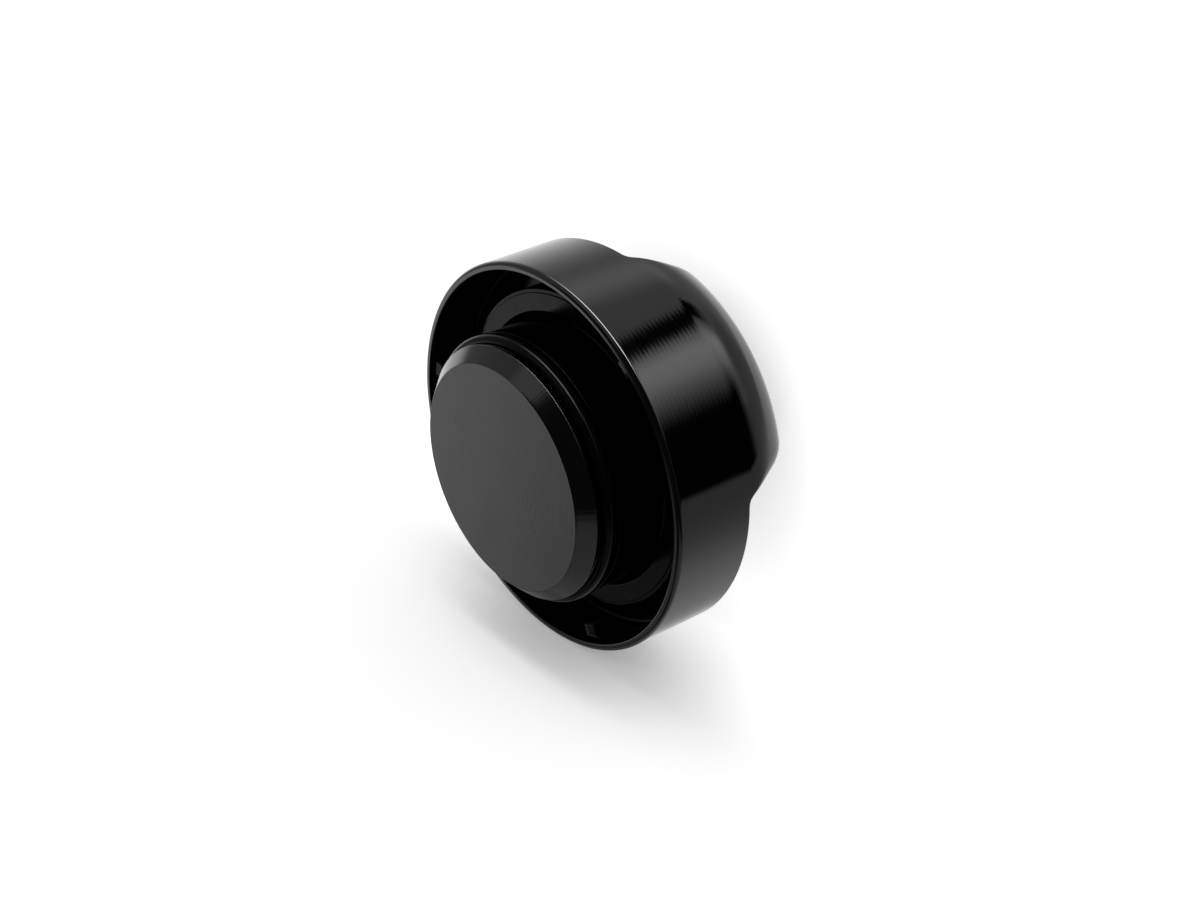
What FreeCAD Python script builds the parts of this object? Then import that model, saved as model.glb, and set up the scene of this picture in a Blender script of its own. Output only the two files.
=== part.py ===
# Bayonet oil filler cap machined from one aluminium billet, with two rubber seals.
# The cap stands on the flat top of its grip, so +Z points out of its open mouth.
# The grip bar runs along Y. Lengths are millimetres, angles are degrees.
import FreeCAD, Part
import math
import os
from FreeCAD import Vector

# Skirt: the round outer wall
skirtRadius = 32.5
skirtLength = 14.2
skirtWall = 1.3
rimRound = 0.8
recessDepth = 9.3
recessCornerRound = 0.8

# Grip: the bar that the fingers turn
gripHeight = 14.6
gripShoulder = 14.2
shelfDepth = 11.7
gripLean = 23.0
gripEdgeRound = 3.0
shelfEdgeRound = 0.5

# Plug: the boss that enters the filler neck, with a wider root that the flat seal sits on
plugRadius = 22.0
plugReach = 8.7
tipStep = 0.9
tipLength = 0.7
noseChamfer = 2.3
rootStep = 0.9
rootSetback = 0.5

# Bayonet lugs on the inside of the skirt
lugCount = 3
lugFirstAngle = -82.5
lugReach = 2.9
lugWidth = 3.0
lugThickness = 2.4
lugSetback = 0.8
lugTipRound = 0.5

# Round ring in the plug's groove
ringSection = 2.4
ringProud = 0.25
ringSideClearance = 0.35
ringSeatClearance = 0.05

# Flat seal on the floor of the recess
sealWidth = 3.65
sealThickness = 3.9
sealLipWidth = 0.65
sealLipStep = 0.2
sealEdgeRound = 0.15
sealBoreClearance = 0.1

# Heights worked out from the sizes above
shelfZ = gripHeight
rimZ = shelfZ + skirtLength
floorZ = rimZ - recessDepth
noseZ = rimZ + plugReach
grooveFrontZ = noseZ - noseChamfer - tipLength
grooveWidth = ringSection + 2 * ringSideClearance
grooveBackZ = grooveFrontZ - grooveWidth
grooveRadius = plugRadius + ringProud - ringSection - ringSeatClearance
recessRadius = skirtRadius - skirtWall
tipRadius = plugRadius - tipStep
rootRadius = plugRadius + rootStep
rootTopZ = floorZ + sealThickness - rootSetback
sealInnerRadius = rootRadius + sealBoreClearance
sealOuterRadius = sealInnerRadius + sealWidth
gripHalfWidth = skirtRadius - shelfDepth
gripRootZ = (shelfZ + floorZ) / 2


def point(r, z):
    # a point of a half section, r out from the axis
    return Vector(r, 0, z)


def quarterArc(start, end, centre):
    # round edge of a section: the arc's middle lies on the bisector of its two ends
    radius = (start - centre).Length
    toMiddle = (start + end) * 0.5 - centre
    toMiddle.normalize()
    return Part.Arc(start, centre + toMiddle * radius, end).toShape()


def turned(edges):
    # solid turned from a closed half section about the cap's axis
    face = Part.Face(Part.Wire(edges))
    return face.revolve(Vector(0, 0, 0), Vector(0, 0, 1), 360)


def line(a, b):
    return Part.LineSegment(a, b).toShape()


def path(points):
    return [line(a, b) for a, b in zip(points, points[1:])]


def turnedBlank():
    # turned part of the cap: nose, plug, ring groove, root, recess, skirt and the flat shelf behind
    noseRadius = tipRadius - noseChamfer
    plugSide = path([
        point(0, noseZ),
        point(noseRadius, noseZ),
        point(tipRadius, noseZ - noseChamfer),
        point(tipRadius, grooveFrontZ),
        point(grooveRadius, grooveFrontZ),
        point(grooveRadius, grooveBackZ),
        point(plugRadius, grooveBackZ),
        point(plugRadius, rootTopZ),
        point(rootRadius, rootTopZ - rootStep),
        point(rootRadius, floorZ),
        point(recessRadius - recessCornerRound, floorZ),
    ])
    corner = quarterArc(point(recessRadius - recessCornerRound, floorZ),
                        point(recessRadius, floorZ + recessCornerRound),
                        point(recessRadius - recessCornerRound, floorZ + recessCornerRound))
    rim = path([
        point(recessRadius, floorZ + recessCornerRound),
        point(recessRadius, rimZ),
        point(skirtRadius - rimRound, rimZ),
    ])
    rimEdge = quarterArc(point(skirtRadius - rimRound, rimZ), point(skirtRadius, rimZ - rimRound),
                         point(skirtRadius - rimRound, rimZ - rimRound))
    side = line(point(skirtRadius, rimZ - rimRound), point(skirtRadius, shelfZ + shelfEdgeRound))
    shelfEdge = quarterArc(point(skirtRadius, shelfZ + shelfEdgeRound),
                           point(skirtRadius - shelfEdgeRound, shelfZ),
                           point(skirtRadius - shelfEdgeRound, shelfZ + shelfEdgeRound))
    back = path([point(skirtRadius - shelfEdgeRound, shelfZ), point(0, shelfZ), point(0, noseZ)])
    return turned(plugSide + [corner] + rim + [rimEdge, side, shelfEdge] + back)


def domedDisc():
    # round blank of the grip: a flat top with a wide round to its side; it reaches into the web
    shoulderTop = point(skirtRadius, gripShoulder)
    shoulderEnd = point(skirtRadius - gripShoulder, 0)
    shoulder = quarterArc(shoulderTop, shoulderEnd, point(skirtRadius - gripShoulder, gripShoulder))
    side = path([point(0, gripRootZ), point(skirtRadius, gripRootZ), shoulderTop])
    top = path([shoulderEnd, point(0, 0), point(0, gripRootZ)])
    return turned(side + [shoulder] + top)


def flankX(z):
    # distance of a flank from the bar's middle at a height
    return gripHalfWidth - (shelfZ - z) * math.tan(math.radians(gripLean))


def flankCutter():
    # what a cutter removes beside the bar, along one leaning flank
    far = skirtRadius * 1.2
    corners = [
        Vector(flankX(-far), -far, -far),
        Vector(flankX(far), -far, far),
        Vector(far * 2, -far, far),
        Vector(far * 2, -far, -far),
    ]
    face = Part.Face(Part.makePolygon(corners + corners[:1]))
    return face.extrude(Vector(0, 2 * far, 0))


def isFlankEdge(edge):
    # edge of a flank that shows outside the web
    ends = [edge.valueAt(edge.FirstParameter), edge.valueAt(edge.LastParameter)]
    onFlank = all(abs(abs(p.x) - flankX(p.z)) < 1e-4 for p in ends)
    inWeb = all(abs(p.z - gripRootZ) < 1e-4 for p in ends)
    return onFlank and not inWeb


def gripBar():
    # bar milled from the domed disc, with the edges of both flanks rounded
    cutter = flankCutter()
    other = cutter.mirror(Vector(0, 0, 0), Vector(1, 0, 0))
    bar = domedDisc().cut(cutter).cut(other)
    return bar.makeFillet(gripEdgeRound, [e for e in bar.Edges if isFlankEdge(e)])


def lug(angle):
    # short block that stands inwards from the skirt's wall, just inside the mouth
    root = skirtWall * 0.5
    back = rimZ - lugSetback - lugThickness
    corner = Vector(recessRadius - lugReach, -lugWidth / 2, back)
    block = Part.makeBox(lugReach + root, lugWidth, lugThickness, corner)
    tips = [e for e in block.Edges if all(abs(v.X - corner.x) < 1e-6 for v in e.Vertexes)
            and e.BoundBox.ZLength > lugThickness / 2]
    block = block.makeFillet(lugTipRound, tips)
    block.rotate(Vector(0, 0, 0), Vector(0, 0, 1), angle)
    return block


def capBody():
    # one machined piece: turned cap, milled grip bar and bayonet lugs
    body = turnedBlank().fuse(gripBar()).removeSplitter()
    for k in range(lugCount):
        body = body.fuse(lug(lugFirstAngle + k * 360.0 / lugCount))
    return body


def oRing():
    # round ring in the middle of the plug's groove
    centreRadius = plugRadius + ringProud - ringSection / 2
    ring = Part.makeTorus(centreRadius, ringSection / 2)
    ring.translate(Vector(0, 0, (grooveFrontZ + grooveBackZ) / 2))
    return ring


def sealRing():
    # flat washer on the recess floor, with a low step around its outer edge
    inner = sealInnerRadius
    faceZ = floorZ + sealThickness
    stepRadius = sealOuterRadius - sealLipWidth
    lipZ = faceZ - sealLipStep
    under = path([
        point(sealOuterRadius, lipZ - sealEdgeRound),
        point(sealOuterRadius, floorZ),
        point(inner, floorZ),
        point(inner, faceZ - sealEdgeRound),
    ])
    innerEdge = quarterArc(point(inner, faceZ - sealEdgeRound), point(inner + sealEdgeRound, faceZ),
                           point(inner + sealEdgeRound, faceZ - sealEdgeRound))
    face = path([
        point(inner + sealEdgeRound, faceZ),
        point(stepRadius, faceZ),
        point(stepRadius, lipZ),
        point(sealOuterRadius - sealEdgeRound, lipZ),
    ])
    outerEdge = quarterArc(point(sealOuterRadius - sealEdgeRound, lipZ),
                           point(sealOuterRadius, lipZ - sealEdgeRound),
                           point(sealOuterRadius - sealEdgeRound, lipZ - sealEdgeRound))
    return turned(under + [innerEdge] + face + [outerEdge])


def main():
    os.makedirs("parts", exist_ok=True)
    capBody().exportStep("parts/cap_body.step")
    oRing().exportStep("parts/o_ring.step")
    sealRing().exportStep("parts/seal_ring.step")


main()
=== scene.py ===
import bpy
import math
import numpy as np
from mathutils import Matrix, Vector


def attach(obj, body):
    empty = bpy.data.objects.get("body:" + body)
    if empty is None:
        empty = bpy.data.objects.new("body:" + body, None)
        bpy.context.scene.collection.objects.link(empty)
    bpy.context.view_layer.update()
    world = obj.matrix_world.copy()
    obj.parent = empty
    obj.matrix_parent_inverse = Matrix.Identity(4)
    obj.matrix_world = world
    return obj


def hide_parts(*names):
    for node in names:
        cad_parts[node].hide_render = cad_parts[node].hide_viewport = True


# Oil filler cap, standing on its grip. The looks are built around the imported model.
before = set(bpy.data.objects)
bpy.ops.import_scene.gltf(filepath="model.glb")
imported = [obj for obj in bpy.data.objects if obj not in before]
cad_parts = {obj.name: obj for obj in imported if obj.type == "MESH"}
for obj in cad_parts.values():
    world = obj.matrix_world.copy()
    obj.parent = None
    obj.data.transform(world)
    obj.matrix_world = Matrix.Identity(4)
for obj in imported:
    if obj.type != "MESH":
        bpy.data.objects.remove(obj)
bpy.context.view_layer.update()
print("frame loaded:", sorted(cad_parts))

mm = 0.001

# sizes of the machined body, in millimetres
body = {
    "steps": 360,              # points around the axis
    "backSteps": 132,          # points from the grip's middle out to the skirt
    "skirtRadius": 32.5,
    "shoulder": 14.2,          # round from the grip's top to the skirt
    "shelfZ": 14.6,
    "halfWidth": 20.8,         # of the bar where it meets the shelf
    "lean": 23.0,              # of the flanks, degrees
    "edgeRound": 5.0,          # between flank and dome
    "edgeFade": 6.5,           # height over which that round dies away towards the shelf
    "shelfRound": 0.2,
    "footRound": 1.3,
    "rimZ": 28.8,
    "rimRound": 0.8,
    "recessRadius": 31.2,
    "floorZ": 19.5,
    "rootRadius": 22.9,        # of the step that the flat seal sits on
    "rootTopZ": 22.9,
    "plugRadius": 22.0,
    "grooveBackZ": 31.4,
    "grooveRadius": 19.8,
    "grooveFrontZ": 34.5,
    "tipRadius": 21.1,
    "chamferZ": 35.2,
    "noseRadius": 18.8,
    "noseZ": 37.5,
    "joinZ": 24.0,             # where the back's surface and the mouth's section meet on the skirt
    # rounds of the mouth's section after the rim's own, from the rim's inner edge to the nose
    "breaks": (0.14, 0.8, 0.1, 0.1, 0.1, 0.15, 0.1, 0.1, 0.12, 0.14, 0.14),
}

# how the back's surface is found and shared out in rows
rays = {
    "eyeZ": 37.0,              # the point on the axis that they start from
    "near": 5.0,
    "far": 70.0,
    "halvings": 34,
    "fine": 1400,              # places along a row before it is shared out
    "run": 1.4,                # millimetres that weigh as much as one unit
    "bend": 9.0,               # weight of a unit of bend
}


def roundedPath(corners, radii, runStep, arcSteps=5):
    # path in a half section: straight runs joined by arcs; gives points and normals to the path's right
    corners = np.array(corners, float)
    legs = np.diff(corners, axis=0)
    unit = legs / np.linalg.norm(legs, axis=1)[:, None]
    points, normals = [], []
    start = corners[0]
    for i in range(len(legs)):
        last = i == len(legs) - 1
        end = corners[i + 1]
        if not last:
            turn = math.acos(np.clip(unit[i] @ unit[i + 1], -1, 1))
            back = radii[i] * math.tan(turn / 2)
            end = corners[i + 1] - unit[i] * back
        count = max(2, int(np.linalg.norm(end - start) / runStep) + 2)
        share = np.linspace(0, 1, count)[:, None]
        side = np.array([unit[i][1], -unit[i][0]])
        points.append(start + (end - start) * share)
        normals.append(np.repeat(side[None], count, 0))
        if not last:
            nextSide = np.array([unit[i + 1][1], -unit[i + 1][0]])
            cross = unit[i][0] * unit[i + 1][1] - unit[i][1] * unit[i + 1][0]
            centre = end + (-side if cross > 0 else side) * radii[i]
            angle = np.linspace(0, 1, arcSteps + 1)[1:-1, None]
            spread = (side * np.sin((1 - angle) * turn) + nextSide * np.sin(angle * turn)) / math.sin(turn)
            points.append(centre + spread * radii[i] * (1 if cross > 0 else -1))
            normals.append(spread)
            start = corners[i + 1] + unit[i + 1] * back
    points, normals = np.concatenate(points), np.concatenate(normals)
    # a corner's last point is dropped where the next run starts on it
    keep = np.concatenate([[True], np.linalg.norm(np.diff(points, axis=0), axis=1) > 1e-6])
    return points[keep], normals[keep]


def spun(points, normals, steps):
    # a half section (radius, height) carried around the axis: (r cos a, r sin a, z)
    a = np.linspace(0, 2 * np.pi, steps, endpoint=False)[:, None]
    place = np.stack([points[:, 0] * np.cos(a), points[:, 0] * np.sin(a), points[:, 1] + 0 * a], -1)
    facing = np.stack([normals[:, 0] * np.cos(a), normals[:, 0] * np.sin(a), normals[:, 1] + 0 * a], -1)
    return place, facing


def gridParts(place, poles=True):
    # vertices and faces of a grid closed around; with poles, its first and last columns are single points
    around, along = place.shape[:2]
    if not poles:
        index = np.arange(around * along).reshape(around, along)
        nxt, nxtAlong = np.roll(index, -1, 0), np.roll(index, -1, 1)
        quads = np.stack([index, nxt, np.roll(nxt, -1, 1), nxtAlong], -1).reshape(-1, 4)
        return place.reshape(-1, 3), quads.tolist()
    inner = place[:, 1:-1]
    index = np.arange(around * (along - 2)).reshape(around, along - 2)
    nxt = np.roll(index, -1, 0)
    quads = np.stack([index[:, :-1], nxt[:, :-1], nxt[:, 1:], index[:, 1:]], -1).reshape(-1, 4)
    first, last = index.size, index.size + 1
    fanA = np.stack([np.full(around, first), nxt[:, 0], index[:, 0]], -1)
    fanB = np.stack([np.full(around, last), index[:, -1], nxt[:, -1]], -1)
    verts = np.concatenate([inner.reshape(-1, 3), place[:1, 0], place[:1, -1]])
    return verts, quads.tolist() + fanA.tolist() + fanB.tolist()


def gridNormals(facing, poles=True):
    if not poles:
        return facing.reshape(-1, 3)
    return np.concatenate([facing[:, 1:-1].reshape(-1, 3), facing[:1, 0], facing[:1, -1]])


def makeMesh(name, verts, faces, normals):
    mesh = bpy.data.meshes.new(name)
    mesh.from_pydata((verts * mm).tolist(), [], faces)
    mesh.polygons.foreach_set("use_smooth", np.ones(len(mesh.polygons), bool))
    mesh.update()
    mesh.normals_split_custom_set_from_vertices(normals.tolist())
    return mesh


def addPiece(name, mesh, node):
    piece = bpy.data.objects.new(name, mesh)
    bpy.context.scene.collection.objects.link(piece)
    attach(piece, "root")
    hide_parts(node)
    return piece


def filleted(a, b, c, radius):
    # two surfaces met by a rolling ball: a and b are distances to them, c the cosine between their normals
    u, v = a + radius, b + radius
    away = np.sqrt(np.maximum(u * u + v * v - 2 * c * u * v, 0) / np.maximum(1 - c * c, 1e-6))
    inBall = (u > c * v) & (v > c * u)
    return np.where(inBall, away - radius, np.maximum(a, b))


def bodyDistance(x, y, z):
    # how far a point is outside the back of the cap: a turned dome, cut by two leaning flanks down to a flat shelf
    r = np.hypot(x, y)
    qr, qz = r - (body["skirtRadius"] - body["shoulder"]), body["shoulder"] - z
    reach = np.hypot(np.maximum(qr, 0), np.maximum(qz, 0))
    turned = reach + np.minimum(np.maximum(qr, qz), 0) - body["shoulder"]
    nr = np.where(reach > 1e-9, np.maximum(qr, 0) / np.maximum(reach, 1e-9), 0)
    nz = np.where(reach > 1e-9, -np.maximum(qz, 0) / np.maximum(reach, 1e-9), -1)
    tilt = math.radians(body["lean"])

    def cut(across, height):
        # the milled step in cross section: flank and shelf, met by a round in the corner
        foot = across - body["halfWidth"] + (body["shelfZ"] - height) * math.tan(tilt)
        flank, shelf = foot * math.cos(tilt), body["shelfZ"] - height
        return -filleted(-flank, -shelf, math.sin(tilt), body["footRound"])

    across = np.abs(x)
    e = 0.001
    cx = (cut(across + e, z) - cut(across - e, z)) / (2 * e)
    cz = (cut(across, z + e) - cut(across, z - e)) / (2 * e)
    # the edge of the step is softer along the flanks than around the shelf
    up = np.clip((body["shelfZ"] - z) / body["edgeFade"], 0, 1)
    edge = body["shelfRound"] + (body["edgeRound"] - body["shelfRound"]) * up * up * (3 - 2 * up)
    c = nr * across / np.maximum(r, 1e-9) * cx + nz * cz
    return filleted(turned, cut(across, z), c, edge)


def backSurface():
    # rays from a point on the axis, turned around and swung outwards; each stops where the distance is zero
    eye = rays["eyeZ"]
    steps = body["steps"]
    a = np.linspace(0, 2 * np.pi, steps, endpoint=False)[:, None]
    widest = math.atan2(body["skirtRadius"], eye - body["joinZ"])

    def hit(swing):
        far = np.full(swing.shape, rays["far"])
        near = np.full(swing.shape, rays["near"])
        dx, dy, dz = np.sin(swing) * np.cos(a), np.sin(swing) * np.sin(a), -np.cos(swing)
        for _ in range(rays["halvings"]):
            mid = (near + far) / 2
            outside = bodyDistance(dx * mid, dy * mid, eye + dz * mid) > 0
            far = np.where(outside, mid, far)
            near = np.where(outside, near, mid)
        mid = (near + far) / 2
        return np.stack([dx * mid, dy * mid, eye + dz * mid], -1)

    def slope(p):
        e = 0.002
        x, y, z = p[..., 0], p[..., 1], p[..., 2]
        g = np.stack([
            bodyDistance(x + e, y, z) - bodyDistance(x - e, y, z),
            bodyDistance(x, y + e, z) - bodyDistance(x, y - e, z),
            bodyDistance(x, y, z + e) - bodyDistance(x, y, z - e),
        ], -1)
        return g / np.linalg.norm(g, axis=-1, keepdims=True)

    fine = np.linspace(0, widest, rays["fine"])[None] + 0 * a
    p = hit(fine)
    n = slope(p)
    run = np.linalg.norm(np.diff(p, axis=1), axis=-1)
    bend = np.linalg.norm(np.diff(n, axis=1), axis=-1)
    weight = np.cumsum(run / rays["run"] + bend * rays["bend"], axis=1)
    weight = np.concatenate([np.zeros((steps, 1)), weight], 1)
    weight /= weight[:, -1:]
    # even shares of the weight, found in every row at once by offsetting each row
    rows = np.arange(steps)[:, None] * 2.0
    wanted = np.linspace(0, 1, body["backSteps"])[None] + rows
    swing = np.interp(wanted.ravel(), (weight + rows).ravel(), fine.ravel()).reshape(steps, -1)
    swing[:, 0], swing[:, -1] = 0, widest
    p = hit(swing)
    return p, slope(p)


def mouthSection():
    # half section from the skirt's side over the rim, down the recess and up the plug to the nose
    b = body
    corners = [
        (b["skirtRadius"], b["joinZ"]), (b["skirtRadius"], b["rimZ"]), (b["recessRadius"], b["rimZ"]),
        (b["recessRadius"], b["floorZ"]), (b["rootRadius"], b["floorZ"]),
        (b["rootRadius"], b["rootTopZ"] - b["rootRadius"] + b["plugRadius"]), (b["plugRadius"], b["rootTopZ"]),
        (b["plugRadius"], b["grooveBackZ"]),
        (b["grooveRadius"], b["grooveBackZ"]), (b["grooveRadius"], b["grooveFrontZ"]),
        (b["tipRadius"], b["grooveFrontZ"]), (b["tipRadius"], b["chamferZ"]),
        (b["noseRadius"], b["noseZ"]), (0.0, b["noseZ"]),
    ]
    return roundedPath(corners, [b["rimRound"], *b["breaks"]], runStep=3.0)


lugs = {
    "angles": (-82.5, 37.5, 157.5),
    "tip": 28.1,
    "waist": 30.0,             # radius of the one row between root and tip
    "root": 31.7,
    "width": 3.0,
    "thickness": 2.5,
    "backZ": 25.8,
    "round": 0.3,
    "closing": (0.8, 1.49),    # how far the last two rows at the tip shrink
    "around": 32,
    "squareness": 0.22,        # 0 is a square section, 1 a round one
    "satin": 0.16,             # roughness
}


def lugParts(angle):
    # rounded rectangle carried inwards along the radius; near the tip it shrinks on a quarter circle, then closes
    g = lugs
    t = np.linspace(0, 2 * np.pi, g["around"], endpoint=False)
    cu, su = np.cos(t), np.sin(t)
    sectionY = np.sign(cu) * np.abs(cu) ** g["squareness"]
    sectionZ = np.sign(su) * np.abs(su) ** g["squareness"]
    bend = np.linspace(0, np.pi / 2, 5)
    tipRows = g["tip"] + g["round"] * (1 - np.sin(bend))
    along = np.concatenate([[g["root"], g["waist"]], tipRows, [g["tip"], g["tip"]]])
    inset = np.concatenate([[0, 0], g["round"] * (1 - np.cos(bend)), g["closing"]])
    halfY = g["width"] / 2 - np.minimum(inset, g["width"] / 2 - 0.001)
    halfZ = g["thickness"] / 2 - np.minimum(inset, g["thickness"] / 2 - 0.001)
    y = sectionY[:, None] * halfY
    z = sectionZ[:, None] * halfZ + g["backZ"] + g["thickness"] / 2
    x = along + 0 * y
    c, s = math.cos(math.radians(angle)), math.sin(math.radians(angle))
    return np.stack([c * x - s * y, s * x + c * y, z], -1)


def buildBody():
    backPlace, backFacing = backSurface()
    points, normals = mouthSection()
    frontPlace, frontFacing = spun(points, normals, body["steps"])
    place = np.concatenate([backPlace, frontPlace[:, 1:]], 1)
    facing = np.concatenate([backFacing, frontFacing[:, 1:]], 1)
    verts, faces = gridParts(place)
    normal = gridNormals(facing)
    for angle in lugs["angles"]:
        lugPlace = lugParts(angle)
        lugVerts, lugFaces = gridParts(lugPlace)
        dr = np.roll(lugPlace, -1, 0) - np.roll(lugPlace, 1, 0)
        dl = np.gradient(lugPlace, axis=1)
        lugNormal = np.cross(dr, dl)
        lugNormal /= np.maximum(np.linalg.norm(lugNormal, axis=-1, keepdims=True), 1e-9)
        lugFaces = [[i + len(verts) for i in f] for f in lugFaces]
        verts = np.concatenate([verts, lugVerts])
        faces = faces + lugFaces
        normal = np.concatenate([normal, gridNormals(lugNormal)])
    return makeMesh("capBody", verts, faces, normal)


ring = {"centre": 21.05, "z": 32.95, "radius": 1.2, "steps": 36, "around": 300}


def buildRing():
    # round ring: a small circle carried around the axis
    t = np.linspace(0, 2 * np.pi, ring["steps"], endpoint=False)
    normals = np.stack([np.cos(t), np.sin(t)], -1)
    points = np.array([ring["centre"], ring["z"]]) + ring["radius"] * normals
    place, facing = spun(points, normals, ring["around"])
    verts, faces = gridParts(place, poles=False)
    return makeMesh("roundRing", verts, faces, gridNormals(facing, poles=False))


seal = {
    "inner": 23.0,
    "start": 25.0,             # where its section begins, on its back
    "outer": 26.65,
    "step": 26.0,
    "floor": 19.5,
    "lip": 23.2,
    "face": 23.4,
    "rounds": (0.1, 0.15, 0.06, 0.08, 0.15, 0.1),
    "around": 300,
}


def buildSeal():
    # flat washer with a low step around its outer edge
    g = seal
    corners = [(g["start"], g["floor"]), (g["outer"], g["floor"]), (g["outer"], g["lip"]), (g["step"], g["lip"]),
               (g["step"], g["face"]), (g["inner"], g["face"]), (g["inner"], g["floor"]), (g["start"], g["floor"])]
    points, normals = roundedPath(corners, g["rounds"], runStep=1.2)
    place, facing = spun(points[:-1], normals[:-1], g["around"])
    verts, faces = gridParts(place, poles=False)
    return makeMesh("flatSeal", verts, faces, gridNormals(facing, poles=False))


capBody = addPiece("capBody", buildBody(), "cap_body")
roundRing = addPiece("roundRing", buildRing(), "o_ring")
flatSeal = addPiece("flatSeal", buildSeal(), "seal_ring")
print("pieces made:", len(capBody.data.polygons), len(roundRing.data.polygons), len(flatSeal.data.polygons))


def addNode(tree, kind, **values):
    node = tree.nodes.new(kind)
    for key, value in values.items():
        setattr(node, key, value)
    return node


def plug(tree, value, socket):
    # a number is set on the socket, an output is linked to it
    if isinstance(value, (int, float)):
        socket.default_value = value
    elif value is not None:
        tree.links.new(value, socket)


def calc(tree, operation, a, b=None, c=None):
    node = addNode(tree, "ShaderNodeMath", operation=operation)
    for socket, value in zip(node.inputs, (a, b, c)):
        plug(tree, value, socket)
    return node.outputs[0]


def ease(tree, value, start, end, low=0.0, high=1.0):
    # smooth step from low to high while value goes from start to end
    node = addNode(tree, "ShaderNodeMapRange", interpolation_type="SMOOTHSTEP")
    plug(tree, value, node.inputs[0])
    for socket, number in zip(node.inputs[1:5], (start, end, low, high)):
        socket.default_value = number
    return node.outputs[0]


def band(tree, value, inside, outside):
    # one between two pairs of edges, zero beyond them
    return calc(tree, "MULTIPLY", ease(tree, value, *inside), ease(tree, value, *outside, 1.0, 0.0))


def blendTo(tree, share, a, b):
    # a number: a where the share is 0, b where it is 1
    node = addNode(tree, "ShaderNodeMix", data_type="FLOAT")
    plug(tree, share, node.inputs[0])
    plug(tree, a, node.inputs[2])
    plug(tree, b, node.inputs[3])
    return node.outputs[0]


def mixShader(tree, share, a, b):
    node = addNode(tree, "ShaderNodeMixShader")
    for socket, value in zip(node.inputs, (share, a, b)):
        tree.links.new(value, socket)
    return node.outputs[0]


def mixColour(tree, share, a, b):
    node = addNode(tree, "ShaderNodeMix", data_type="RGBA")
    tree.links.new(share, node.inputs[0])
    node.inputs[6].default_value, node.inputs[7].default_value = a, b
    return node.outputs[2]


def noise(tree, place, scale, detail, rough, dimensions="3D"):
    node = addNode(tree, "ShaderNodeTexNoise", noise_dimensions=dimensions)
    plug(tree, place, node.inputs["W" if dimensions == "1D" else "Vector"])
    node.inputs["Scale"].default_value = scale
    node.inputs["Detail"].default_value = detail
    node.inputs["Roughness"].default_value = rough
    return node.outputs[0]


def newMaterial(name):
    material = bpy.data.materials.new(name)
    material.use_nodes = True
    tree = material.node_tree
    tree.nodes.clear()
    out = addNode(tree, "ShaderNodeOutputMaterial")
    shader = addNode(tree, "ShaderNodeBsdfPrincipled")
    tree.links.new(shader.outputs[0], out.inputs[0])
    return material, tree, shader


def objectPlace(tree):
    # object coordinates in millimetres, the height, and the radius and angle around the axis
    coordinate = addNode(tree, "ShaderNodeTexCoord")
    scaled = addNode(tree, "ShaderNodeVectorMath", operation="SCALE")
    tree.links.new(coordinate.outputs["Object"], scaled.inputs[0])
    scaled.inputs["Scale"].default_value = 1 / mm
    parts = addNode(tree, "ShaderNodeSeparateXYZ")
    tree.links.new(scaled.outputs[0], parts.inputs[0])
    x, y, z = parts.outputs
    radius = calc(tree, "SQRT", calc(tree, "ADD", calc(tree, "MULTIPLY", x, x), calc(tree, "MULTIPLY", y, y)))
    angle = calc(tree, "ARCTAN2", y, x)
    return scaled.outputs[0], z, radius, angle


def raised(tree, height):
    # bump from a height in millimetres
    node = addNode(tree, "ShaderNodeBump")
    node.inputs["Strength"].default_value = 1.0
    node.inputs["Distance"].default_value = mm
    tree.links.new(height, node.inputs["Height"])
    return node.outputs[0]


anodised = {
    "colour": (0.0010, 0.0010, 0.0014, 1),
    # darker colour inside the recess: painted shade
    "recessShadeColour": (0.0003, 0.0003, 0.0004, 1),
    "dust": (0.012, 0.012, 0.012, 1),
    "dustScale": 0.55,
    "dustSize": 0.075,
    "ior": 1.70,
    "gloss": 0.06,              # roughness of the turned sides
    "satin": 0.27,              # roughness of the end face
    "smudge": 0.03,             # added to it here and there
    "recessShadeIor": 1.17,          # painted shade: inside the recess the surface reflects far less, and it is rougher there
    "recessGloss": 0.13,
    "slope": 0.73,              # share of the radius that the turned lines follow on faces and slopes
    "linePitch": 0.80,          # of the turned lines, mm
    "lineHeight": 0.0011,       # mm, like all heights here
    "swirlCentre": (15.5, -29.0, 14.8),
    "swirlPitch": 0.55,
    "swirlHeight": 0.0010,
    "swirlReach": (3.0, 9.0),
    "streakHeight": 0.014,      # of the radial scratches on the bevel
    "grainHeight": 0.0009,
    "waveHeight": 0.02,
    # scale, detail and roughness of each noise
    "driftNoise": (1.7, 2.0, 0.5),
    "unevenNoise": (5.0, 3.0, 0.7),
    "streakNoise": (34.0, 3.0, 0.7),
    "grainNoise": (9.0, 3.0, 0.6),
    "waveNoise": (0.06, 1.0, 0.5),
    "smudgeNoise": (0.11, 4.0, 0.6),
    "faceZ": (37.40, 37.47),    # above these the end face begins
    "bevelZ": ((35.1, 35.3), (37.3, 37.45)),
    "lugRadius": ((27.0, 27.2), (31.1, 31.2)),
    "lugZ": ((25.0, 25.2), (28.5, 28.6)),
}


def turnedLines(tree, z, radius):
    # they follow the section: z on the sides, radius on the faces, both on the slopes
    a = anodised
    along = calc(tree, "ADD", z, calc(tree, "MULTIPLY", radius, a["slope"]))
    drift = calc(tree, "MULTIPLY", noise(tree, along, *a["driftNoise"], "1D"), 0.5)
    turns = calc(tree, "MULTIPLY", calc(tree, "ADD", along, drift), 2 * math.pi / a["linePitch"])
    uneven = ease(tree, noise(tree, along, *a["unevenNoise"], "1D"), 0.3, 0.7, 0.25, 1.0)
    return calc(tree, "MULTIPLY", calc(tree, "MULTIPLY", calc(tree, "SINE", turns), uneven), a["lineHeight"])


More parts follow.
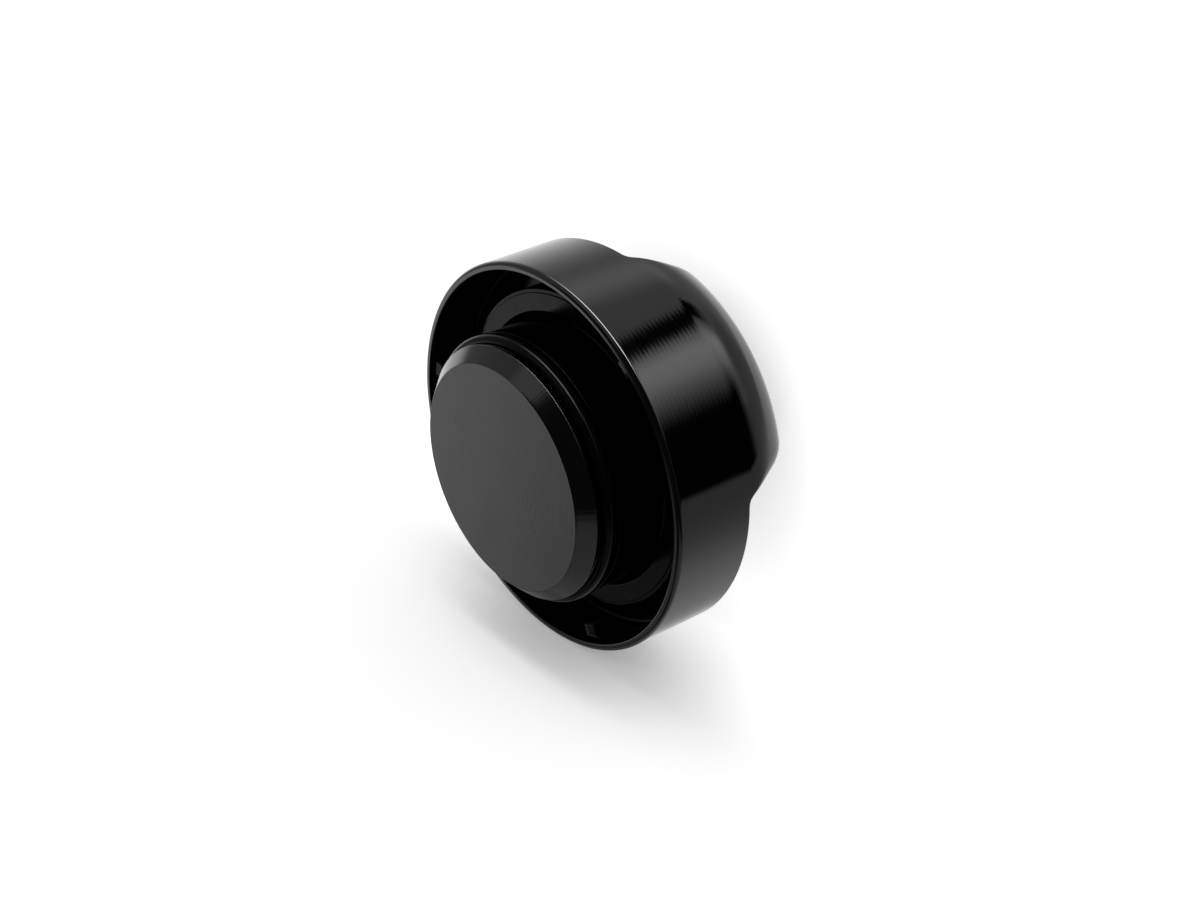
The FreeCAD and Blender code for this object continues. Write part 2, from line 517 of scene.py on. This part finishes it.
def cutterRings(tree, place):
    # rings on the grip, around one spot at its end
    a = anodised
    shift = addNode(tree, "ShaderNodeVectorMath", operation="DISTANCE")
    tree.links.new(place, shift.inputs[0])
    shift.inputs[1].default_value = a["swirlCentre"]
    away = shift.outputs["Value"]
    rings = calc(tree, "SINE", calc(tree, "MULTIPLY", away, 2 * math.pi / a["swirlPitch"]))
    fade = calc(tree, "MULTIPLY", ease(tree, away, *a["swirlReach"], 1.0, 0.0), a["swirlHeight"])
    return calc(tree, "MULTIPLY", rings, fade)


def dustSpecks(tree, place, isFace):
    # sparse specks, none on the end face
    a = anodised
    cells = addNode(tree, "ShaderNodeTexVoronoi")
    tree.links.new(place, cells.inputs["Vector"])
    cells.inputs["Scale"].default_value = a["dustScale"]
    parts = addNode(tree, "ShaderNodeSeparateColor")
    tree.links.new(cells.outputs["Color"], parts.inputs[0])
    size = calc(tree, "MULTIPLY", parts.outputs[0], blendTo(tree, isFace, a["dustSize"], 0.0))
    return calc(tree, "LESS_THAN", cells.outputs["Distance"], size)


def anodisedMaterial(name, inRecess):
    a = anodised
    material, tree, shader = newMaterial(name)
    place, z, radius, angle = objectPlace(tree)
    isFace = ease(tree, z, *a["faceZ"])
    grainShare = calc(tree, "MULTIPLY", isFace, a["grainHeight"])
    grain = calc(tree, "MULTIPLY", noise(tree, place, *a["grainNoise"]), grainShare)
    waves = calc(tree, "MULTIPLY", noise(tree, place, *a["waveNoise"]), a["waveHeight"])
    # fine radial scratches on the bevel around the end face
    scratch = calc(tree, "MULTIPLY", noise(tree, angle, *a["streakNoise"], "1D"), a["streakHeight"])
    streaks = calc(tree, "MULTIPLY", scratch, band(tree, z, *a["bevelZ"]))
    marks = calc(tree, "ADD", turnedLines(tree, z, radius), cutterRings(tree, place))
    height = calc(tree, "ADD", calc(tree, "ADD", marks, streaks), calc(tree, "ADD", grain, waves))
    tree.links.new(raised(tree, height), shader.inputs["Normal"])
    # roughness: satin end face and locking lugs, glossy elsewhere, with faint smudges
    smudge = ease(tree, noise(tree, place, *a["smudgeNoise"]), 0.45, 0.75, 0.0, a["smudge"])
    gloss = a["recessGloss"] if inRecess else a["gloss"]
    finish = blendTo(tree, isFace, gloss, a["satin"])
    if not inRecess:
        onLug = calc(tree, "MULTIPLY", band(tree, radius, *a["lugRadius"]), band(tree, z, *a["lugZ"]))
        finish = blendTo(tree, onLug, finish, lugs["satin"])
    tree.links.new(calc(tree, "ADD", finish, smudge), shader.inputs["Roughness"])
    # in the recess a darker colour and a lower IOR paint shade
    colour = a["recessShadeColour"] if inRecess else a["colour"]
    tree.links.new(mixColour(tree, dustSpecks(tree, place, isFace), colour, a["dust"]), shader.inputs["Base Color"])
    shader.inputs["IOR"].default_value = a["recessShadeIor"] if inRecess else a["ior"]
    return material


recess = {
    "wallBack": 19.0,          # heights of the recess's wall that take the darker copy, painted shade
    "wallFront": 28.5,
    "plugBack": 22.5,          # and of the plug, as far as the ring
    "wallInner": 21.7,         # radius from which it counts as wall
    "lugFront": 28.1,          # the lugs keep the main anodised material: their height and radius end here
    "lugOuter": 31.15,
    "slack": 0.1,              # so that faces on a limit are counted in
}


def markShadedRecess(mesh):
    # faces of the recess, from the rim's inner edge down and up the plug as far as the ring, take the darker, less
    # reflective copy: painted shade
    centre = np.empty(len(mesh.polygons) * 3, np.float32)
    mesh.polygons.foreach_get("center", centre)
    centre = centre.reshape(-1, 3) / mm
    r, z = np.hypot(centre[:, 0], centre[:, 1]), centre[:, 2]
    wall = (r < body["recessRadius"] + recess["slack"] / 5) & (r > recess["wallInner"])
    wall &= (z > recess["wallBack"]) & (z < recess["wallFront"])
    slack = recess["slack"]
    groove = (r < body["plugRadius"] + slack) & (r > body["grooveRadius"] - slack)
    groove &= (z > recess["plugBack"]) & (z < body["grooveFrontZ"] - slack)
    onLug = (r > lugs["tip"] - slack / 2) & (r < recess["lugOuter"])
    onLug &= (z > lugs["backZ"] - slack / 2) & (z < recess["lugFront"])
    index = np.where((wall | groove) & ~onLug, 1, 0)
    mesh.polygons.foreach_set("material_index", index.astype(np.int32))


rubber = {
    "ring": {"colour": (0.002, 0.002, 0.002, 1), "pale": (0.005, 0.005, 0.005, 1), "low": 0.10, "high": 0.16,
             "ior": 1.20, "grain": 0.0006},
    "seal": {"colour": (0.002, 0.002, 0.002, 1), "pale": (0.010, 0.010, 0.010, 1), "low": 0.08, "high": 0.16,
             "ior": 1.215, "grain": 0.0014},
    # scale, detail and roughness of each noise
    "cloudNoise": (0.45, 5.0, 0.65),
    "grainNoise": (5.0, 3.0, 0.6),
}


def rubberMaterial(name, kind):
    # moulded rubber: fine grain, cloudy colour and roughness
    r = rubber[kind]
    material, tree, shader = newMaterial(name)
    place = objectPlace(tree)[0]
    cloud = noise(tree, place, *rubber["cloudNoise"])
    colour = mixColour(tree, ease(tree, cloud, 0.35, 0.7), r["colour"], r["pale"])
    tree.links.new(colour, shader.inputs["Base Color"])
    tree.links.new(ease(tree, cloud, 0.3, 0.75, r["low"], r["high"]), shader.inputs["Roughness"])
    grain = calc(tree, "MULTIPLY", noise(tree, place, *rubber["grainNoise"]), r["grain"])
    tree.links.new(raised(tree, grain), shader.inputs["Normal"])
    shader.inputs["IOR"].default_value = r["ior"]
    return material


capBody.data.materials.append(anodisedMaterial("blackAnodised", False))
# a darker, less reflective copy for the recess: painted shade
capBody.data.materials.append(anodisedMaterial("recessShadedAnodised", True))
markShadedRecess(capBody.data)
roundRing.data.materials.append(rubberMaterial("ringRubber", "ring"))
flatSeal.data.materials.append(rubberMaterial("sealRubber", "seal"))
print("materials made")

# the floor and the paper, in metres
stage = {
    "floorWidth": 6.0,
    "sweepWidth": 0.9,
    "sweepHeight": 0.45,
    "sweepSide": (-0.713, 0.701),    # a paper stands up beside the cap on this side
    "sweepGap": 0.0327,              # from the axis
    "sweepBend": 0.006,              # radius at its foot
    "grey": 0.9,
    "reach": 0.09,                   # how far the cap's soft shade goes
    "foot": (0.030, 0.004),          # heights between which the paper passes from its own shade to the floor's
    "paper": {"dark": 0.20, "light": 0.66, "open": 0.92},
    "floor": {"dark": 0.60, "light": 0.96, "open": 0.45},
}


def stageMaterial(name, oneSided):
    # pale paper: lit by the studio, and lifted towards white for the camera alone, less where the cap shades it
    material = bpy.data.materials.new(name)
    material.use_nodes = True
    tree = material.node_tree
    tree.nodes.clear()
    out = addNode(tree, "ShaderNodeOutputMaterial")
    diffuse = addNode(tree, "ShaderNodeBsdfDiffuse")
    diffuse.inputs[0].default_value = (stage["grey"],) * 3 + (1,)
    shine = addNode(tree, "ShaderNodeEmission")
    ray = addNode(tree, "ShaderNodeLightPath")
    shade = addNode(tree, "ShaderNodeAmbientOcclusion", samples=2)
    shade.inputs["Distance"].default_value = stage["reach"]
    place = addNode(tree, "ShaderNodeNewGeometry")
    split = addNode(tree, "ShaderNodeSeparateXYZ")
    tree.links.new(place.outputs["Position"], split.inputs[0])
    lifts = []
    for kind in ("paper", "floor"):
        k = stage[kind]
        lifts.append(ease(tree, shade.outputs["AO"], 0.0, k["open"], k["dark"], k["light"]))
    lift = blendTo(tree, ease(tree, split.outputs[2], *stage["foot"]), *lifts)
    tree.links.new(lift, shine.inputs["Strength"])
    lifted = addNode(tree, "ShaderNodeAddShader")
    tree.links.new(diffuse.outputs[0], lifted.inputs[0])
    tree.links.new(shine.outputs[0], lifted.inputs[1])
    shown = mixShader(tree, ray.outputs["Is Camera Ray"], diffuse.outputs[0], lifted.outputs[0])
    if oneSided:
        clear = addNode(tree, "ShaderNodeBsdfTransparent")
        shown = mixShader(tree, place.outputs["Backfacing"], shown, clear.outputs[0])
    tree.links.new(shown, out.inputs[0])
    return material


def addStage(name, verts, faces, material):
    mesh = bpy.data.meshes.new(name)
    mesh.from_pydata(verts, [], faces)
    mesh.polygons.foreach_set("use_smooth", np.ones(len(mesh.polygons), bool))
    mesh.materials.append(material)
    sheet = bpy.data.objects.new(name, mesh)
    bpy.context.scene.collection.objects.link(sheet)
    sheet.visible_glossy = False       # the cap's gloss looks past it into the studio
    sheet.visible_shadow = False
    return sheet


def buildStage():
    w = stage["floorWidth"] / 2
    addStage("studioFloor", [(-w, -w, 0), (w, -w, 0), (w, w, 0), (-w, w, 0)], [(0, 1, 2, 3)],
             stageMaterial("paleFloor", False))
    # the paper's section, (distance from the axis, height): a quarter circle up from the floor, then straight up
    r, gap = stage["sweepBend"], stage["sweepGap"]
    t = np.linspace(0, np.pi / 2, 13)
    out = np.concatenate([gap - r + r * np.sin(t), [gap]])
    up = np.concatenate([r - r * np.cos(t), [stage["sweepHeight"]]])
    sx, sy = stage["sweepSide"]
    half = stage["sweepWidth"] / 2
    edge = np.stack([sx * out, sy * out, up], -1)
    along = np.array([-sy, sx, 0]) * half
    verts = np.concatenate([edge - along, edge + along])
    n = len(out)
    i = np.arange(n - 1)
    faces = np.stack([i, i + 1, i + n + 1, i + n], -1)
    paper = addStage("studioPaper", verts.tolist(), faces.tolist(), stageMaterial("palePaper", True))
    paper.visible_diffuse = False
    paper.visible_transmission = False


buildStage()

# what the cap's surfaces see: soft lights and dark cards laid one over another on a plain studio.
# rise and fall are headings in degrees from +X towards +Y, low and high are heights above the horizon, each
# a pair of edges that the card fades between; a card without them goes all the way. A card is seen by the
# gloss alone where it says nothing else. One with a slant hangs askew around the height slantAt.
studio = {
    "below": 0.52,
    "above": 0.34,
    "horizon": (-4, 4),        # heights between which the plain studio passes from below to above
    "cards": {
        "whiteTable": {"middle": 80, "rise": (5, 55), "fall": (70, 136), "high": (-2, 6), "level": 1.35},
        "sideWall": {"middle": 150, "rise": (104, 145), "fall": (155, 203), "high": (-6, 6), "level": 0.78},
        "shade": {"middle": 200, "rise": (158, 206), "fall": (240, 250), "low": (-74, -60), "high": (-6, 6),
            "level": 0.33},
        "blackCard": {"middle": 232, "rise": (209, 213.5), "fall": (270, 280), "low": (-57, -45),
            "high": (-12, 0), "level": 0.0},
        "window": {"middle": -75, "rise": (-110, -72), "fall": (-76, -58), "low": (-64, -50), "high": (-20, -4),
            "level": 2.05, "slant": -1.2, "reach": 5, "slantAt": -35},
        "gap": {"middle": -56, "rise": (-67, -62.5), "fall": (-53, -48.5), "low": (-60, -46), "high": (-20, -8),
            "level": 0.0, "slant": -2.5, "reach": 5, "slantAt": -35},
        "strip": {"middle": -12, "rise": (-30, -12), "fall": (-12, 8), "low": (-54, -42), "high": (-20, 0),
            "level": 0.93},
        "dimFloor": {"middle": -90, "rise": (-190, -170), "fall": (-40, 0), "high": (-68, -56), "level": 0.36},
        "underGrip": {"middle": 110, "rise": (20, 80), "fall": (150, 220), "high": (-64, -50), "level": 0.9},
        "ceiling": {"low": (40, 52), "level": 0.05, "seenBy": ("matt", "gloss")},
        "backRoom": {"middle": 115, "rise": (76, 82), "fall": (138, 150), "low": (20, 28), "level": 0.03,
            "seenBy": ("matt", "gloss")},
        "backLight": {"middle": 100, "rise": (83.5, 87), "fall": (110, 130), "low": (28, 32), "high": (42, 54),
            "level": 0.25, "seenBy": ("matt", "gloss")},
        "room": {"middle": -110, "rise": (-176, -160), "fall": (-62, -46), "low": (-8, 6), "level": 0.03,
            "seenBy": ("matt", "gloss")},
        "frontBox": {"middle": 75, "rise": (44, 62), "fall": (77.5, 81), "low": (-12, -2), "high": (34, 40),
            "level": 1.2, "slant": -1.3, "slantAt": 34.3, "reach": 8, "seenBy": ("matt", "gloss")},
        "contactShade": {"middle": 100, "rise": (76, 86), "fall": (112, 128), "low": (-30, -24),
            "high": (10, 22), "level": 0.2},
        "barLamp": {"middle": -26, "rise": (-58, -46), "fall": (-6, 6), "low": (34, 38), "high": (46, 50),
            "level": 0.6, "seenBy": ("matt", "gloss")},
        "paperLamp": {"middle": -40, "rise": (-82, -42), "fall": (-38, 4), "low": (-14, -4), "high": (4, 14),
            "level": 7.0, "seenBy": ("matt",)},
        "edgeLamp": {"middle": -48, "rise": (-84, -56), "fall": (-40, 4), "low": (-18, -10), "high": (-6, 3),
            "level": 17.0},
    },
}


def cardLevel(tree, heading, height, seenBy):
    # the studio's light in one direction: each card covers what is behind it by its share
    level = ease(tree, height, *studio["horizon"], studio["below"], studio["above"])
    for card in studio["cards"].values():
        if seenBy not in card.get("seenBy", ("gloss",)):
            continue
        shares = []
        if "low" in card:
            shares.append(ease(tree, height, *card["low"]))
        if "high" in card:
            shares.append(ease(tree, height, *card["high"], 1.0, 0.0))
        if "middle" in card:
            middle = card["middle"]
            turned = calc(tree, "ADD", heading, -middle)
            if "slant" in card:
                lift = calc(tree, "ADD", height, -card["slantAt"])
                lift = calc(tree, "MAXIMUM", calc(tree, "MINIMUM", lift, card["reach"]), -card["reach"])
                turned = calc(tree, "SUBTRACT", turned, calc(tree, "MULTIPLY", lift, card["slant"]))
            turned = calc(tree, "WRAP", turned, 180, -180)
            shares.append(ease(tree, turned, *(edge - middle for edge in card["rise"])))
            shares.append(ease(tree, turned, *(edge - middle for edge in card["fall"]), 1.0, 0.0))
        share = shares[0]
        for other in shares[1:]:
            share = calc(tree, "MULTIPLY", share, other)
        level = blendTo(tree, share, level, card["level"])
    return level


def studioWorld():
    world = bpy.data.worlds.new("studio")
    bpy.context.scene.world = world
    world.use_nodes = True
    tree = world.node_tree
    tree.nodes.clear()
    out = addNode(tree, "ShaderNodeOutputWorld")
    place = addNode(tree, "ShaderNodeTexCoord")
    split = addNode(tree, "ShaderNodeSeparateXYZ")
    tree.links.new(place.outputs["Generated"], split.inputs[0])
    heading = calc(tree, "DEGREES", calc(tree, "ARCTAN2", split.outputs[1], split.outputs[0]))
    height = calc(tree, "DEGREES", calc(tree, "ARCSINE", split.outputs[2]))
    # matt surfaces are lit by the few cards that matter to them, gloss sees the rest too, the camera plain white
    ray = addNode(tree, "ShaderNodeLightPath")
    matt, gloss = (cardLevel(tree, heading, height, kind) for kind in ("matt", "gloss"))
    shown = None
    for level, flag in ((matt, None), (gloss, "Is Glossy Ray"), (1.0, "Is Camera Ray")):
        background = addNode(tree, "ShaderNodeBackground")
        plug(tree, level, background.inputs["Strength"])
        light = background.outputs[0]
        shown = mixShader(tree, ray.outputs[flag], shown, light) if flag else light
    tree.links.new(shown, out.inputs[0])


studioWorld()
print("studio made")

# camera fitted to the photograph's circles: place in millimetres, angles in degrees
view = {
    "place": (-36.829, -273.924, 198.588),
    "heading": 7.291,
    "down": 33.128,
    "roll": 112.536,
    "lens": 61.533,
    "sensor": 36,
    "clip": (0.01, 20),        # metres
}


def addCamera():
    h, d, roll = (math.radians(view[k]) for k in ("heading", "down", "roll"))
    forward = Vector((math.sin(h) * math.cos(d), math.cos(h) * math.cos(d), -math.sin(d)))
    level = (Vector((0, 0, 1)) - forward * forward.z).normalized()
    right = forward.cross(level)
    up = level * math.cos(roll) + right * math.sin(roll)
    turn = Matrix((forward.cross(up), up, -forward)).transposed().to_4x4()
    data = bpy.data.cameras.new("camera")
    data.lens, data.sensor_width = view["lens"], view["sensor"]
    data.clip_start, data.clip_end = view["clip"]
    camera = bpy.data.objects.new("camera", data)
    bpy.context.scene.collection.objects.link(camera)
    camera.matrix_world = Matrix.Translation(Vector(view["place"]) * mm) @ turn
    bpy.context.scene.camera = camera


addCamera()
bpy.context.scene.view_settings.view_transform = "Standard"
